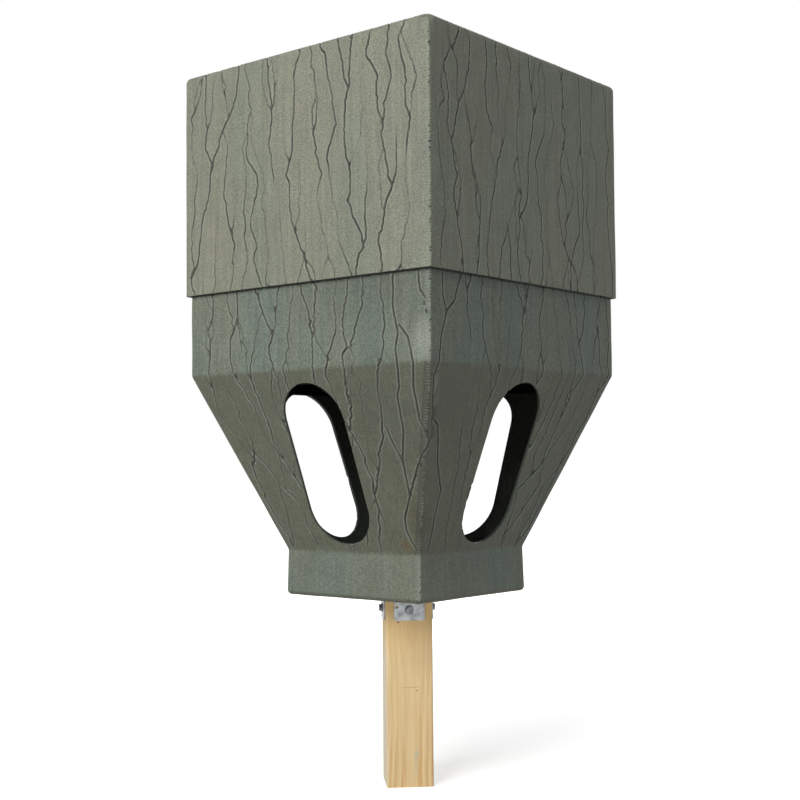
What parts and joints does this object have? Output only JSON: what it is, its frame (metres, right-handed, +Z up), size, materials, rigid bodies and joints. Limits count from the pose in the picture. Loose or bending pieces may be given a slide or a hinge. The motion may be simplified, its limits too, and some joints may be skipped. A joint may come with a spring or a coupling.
{
  "type": "post-mounted gravity feeder",
  "caption": "Square moulded hopper with slip-over lid and tapered neck with feeding ports, on a timber post; funnel and adjustable flow sleeve inside.",
  "frame": {"origin": "centre of the post's foot, on the ground that it stands on", "axes": "+Z up along the post; -Y and +X face two neighbouring feeding ports, and the post's corners point along X and Y"},
  "size_m": [0.609, 0.609, 1.3711],
  "materials": {
    "moulded_plastic": "matt moulded grain with bark cracks",
    "liner_plastic": "dark satin",
    "zinc_steel": "zinc plated",
    "timber": "sawn pine"
  },
  "bodies": {
    "feeder": {"post": "timber", "body_shell": "moulded_plastic", "funnel_ring": "liner_plastic", "hopper_funnel": "liner_plastic", "feed_spout": "liner_plastic", "bracket_front": "zinc_steel", "bracket_right": "zinc_steel", "bracket_back": "zinc_steel", "bracket_left": "zinc_steel", "lag_screw_front": "zinc_steel", "lag_screw_right": "zinc_steel", "lag_screw_back": "zinc_steel", "lag_screw_left": "zinc_steel", "floor_bolt_front": "zinc_steel", "floor_bolt_right": "zinc_steel", "floor_bolt_back": "zinc_steel", "floor_bolt_left": "zinc_steel", "floor_washer_front": "zinc_steel", "floor_washer_right": "zinc_steel", "floor_washer_back": "zinc_steel", "floor_washer_left": "zinc_steel", "bracket_nut_front": "zinc_steel", "bracket_nut_right": "zinc_steel", "bracket_nut_back": "zinc_steel", "bracket_nut_left": "zinc_steel"},
    "lid": {"lid": "moulded_plastic"},
    "flow_sleeve": {"flow_sleeve": "liner_plastic"},
    "thumb_screw_right": {"thumb_screw_right": "zinc_steel"},
    "thumb_screw_left": {"thumb_screw_left": "zinc_steel"}
  },
  "joints": [
    {"name": "lid_lift", "type": "slide", "parent": "feeder", "child": "lid", "axis": [0, 0, 1], "range_m": [0, 0.45]},
    {"name": "sleeve_slide", "type": "slide", "parent": "feeder", "child": "flow_sleeve", "axis": [0, 0, 1], "range_m": [-0.02, 0.03]},
    {"name": "thumb_turn_right", "type": "hinge", "parent": "feeder", "child": "thumb_screw_right", "pos_m": [0.057, 0, 0.5893], "axis": [1, 0, 0], "range_deg": [0, 270]},
    {"name": "thumb_turn_left", "type": "hinge", "parent": "feeder", "child": "thumb_screw_left", "pos_m": [-0.057, 0, 0.5893], "axis": [-1, 0, 0], "range_deg": [0, 270]}
  ]
}
